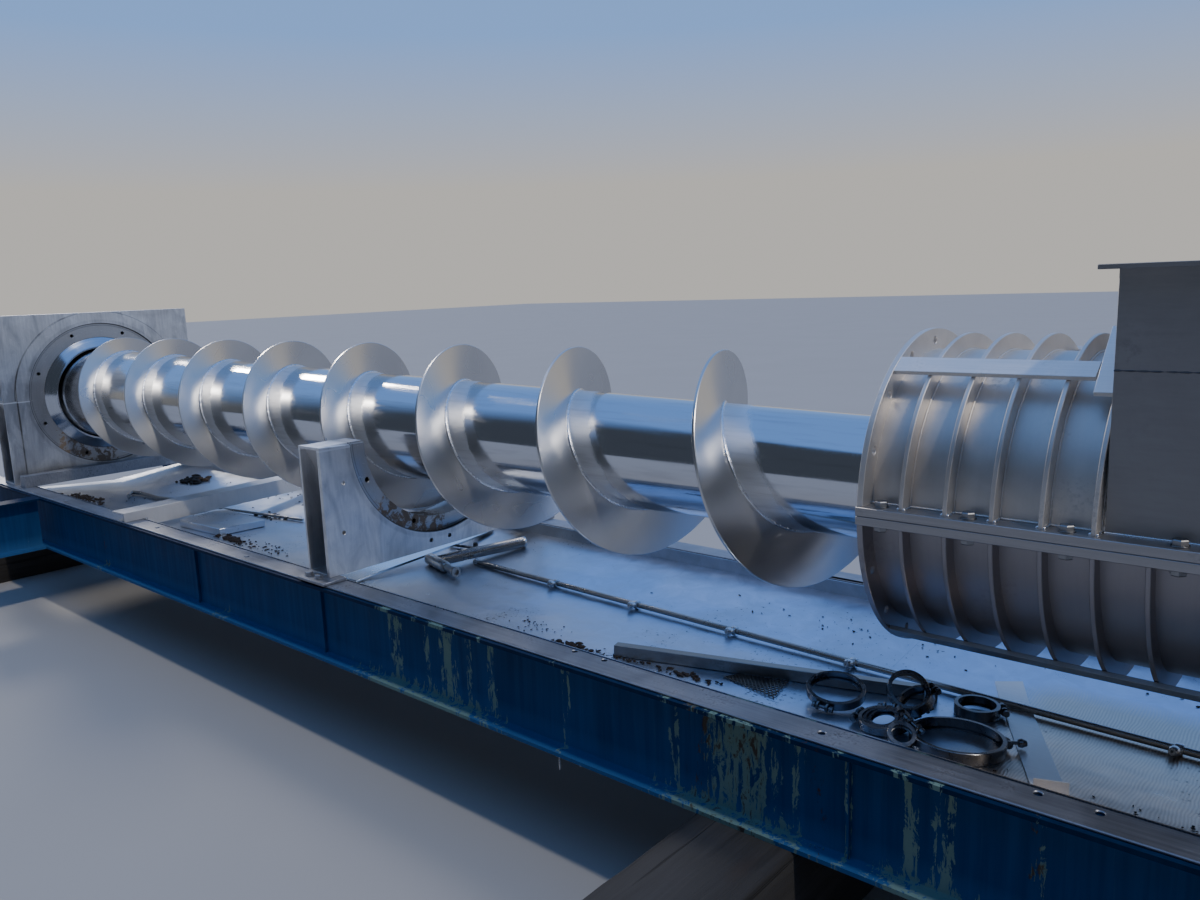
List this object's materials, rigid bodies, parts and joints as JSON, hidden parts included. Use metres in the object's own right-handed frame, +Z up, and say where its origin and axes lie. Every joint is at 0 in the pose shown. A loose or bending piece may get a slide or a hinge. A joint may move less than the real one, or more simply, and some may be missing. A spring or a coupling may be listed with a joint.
{
  "type": "dewatering screw press",
  "caption": "Skid-mounted dewatering screw press with its screens off: a long tapered-shaft screw between end bulkheads, a saddle, a ribbed inlet drum with hopper and drip trays.",
  "frame": {"origin": "middle of the footprint on the ground, under the skid's centre", "axes": "+X along the screw toward the inlet hopper, +Y across to the far side, +Z up"},
  "size_m": [6.74, 2.36, 1.4916],
  "materials": {
    "polished_stainless": "mirror-polished stainless",
    "brushed_stainless": "satin stainless with grinding and weld marks",
    "dull_stainless": "worn dull stainless",
    "dark_stainless": "matte dark grey",
    "dark_steel": "dark cast",
    "tray_sheet": "mill-finish stainless sheet, speckled with dirt",
    "blue_paint": "worn deep blue paint, streaked, with primer and rust patches",
    "timber": "weathered rough-sawn timber"
  },
  "bodies": {
    "frame": {"beam_near": "blue_paint", "beam_far": "blue_paint", "outrigger_near": "blue_paint", "outrigger_far": "blue_paint", "cross_member_discharge": "blue_paint", "cross_member_outrigger": "blue_paint", "cross_member_saddle": "blue_paint", "cross_member_inlet": "blue_paint", "strip_near": "dull_stainless", "strip_far": "dull_stainless", "tray_discharge": "tray_sheet", "tray_middle": "tray_sheet", "tray_inlet": "tray_sheet", "bulkhead_bar": "dull_stainless", "cross_angle": "dull_stainless", "saddle": "brushed_stainless", "saddle_base_near": "dull_stainless", "saddle_base_far": "dull_stainless", "bulkhead_lower": "brushed_stainless", "bulkhead_upper": "brushed_stainless", "discharge_cone": "polished_stainless", "bearing_housing_discharge": "dark_steel", "inlet_bulkhead_lower": "brushed_stainless", "inlet_bulkhead_upper": "brushed_stainless", "bearing_housing_inlet": "dark_steel", "drum_lower": "brushed_stainless", "drum_upper": "brushed_stainless", "upper_bar_near": "brushed_stainless", "upper_bar_far": "brushed_stainless", "lower_bar_near": "brushed_stainless", "lower_bar_far": "brushed_stainless", "hopper": "dark_stainless", "hopper_gusset_near": "brushed_stainless", "hopper_gusset_far": "brushed_stainless", "wash_pipe": "dull_stainless", "square_bar": "dark_steel", "flat_plate": "dull_stainless", "tee_pipe": "dull_stainless", "crossing_bar": "dull_stainless", "loose_panel": "tray_sheet", "clamp_ring": "dark_steel", "timber_discharge": "timber", "timber_middle": "timber", "timber_inlet": "timber"},
    "screw": {"screw_shaft": "polished_stainless", "screw_flight": "brushed_stainless"}
  },
  "joints": [
    {"name": "screw_turn", "type": "hinge", "parent": "frame", "child": "screw", "pos_m": [0, 0, 0.9976], "axis": [1, 0, 0], "continuous": true}
  ]
}
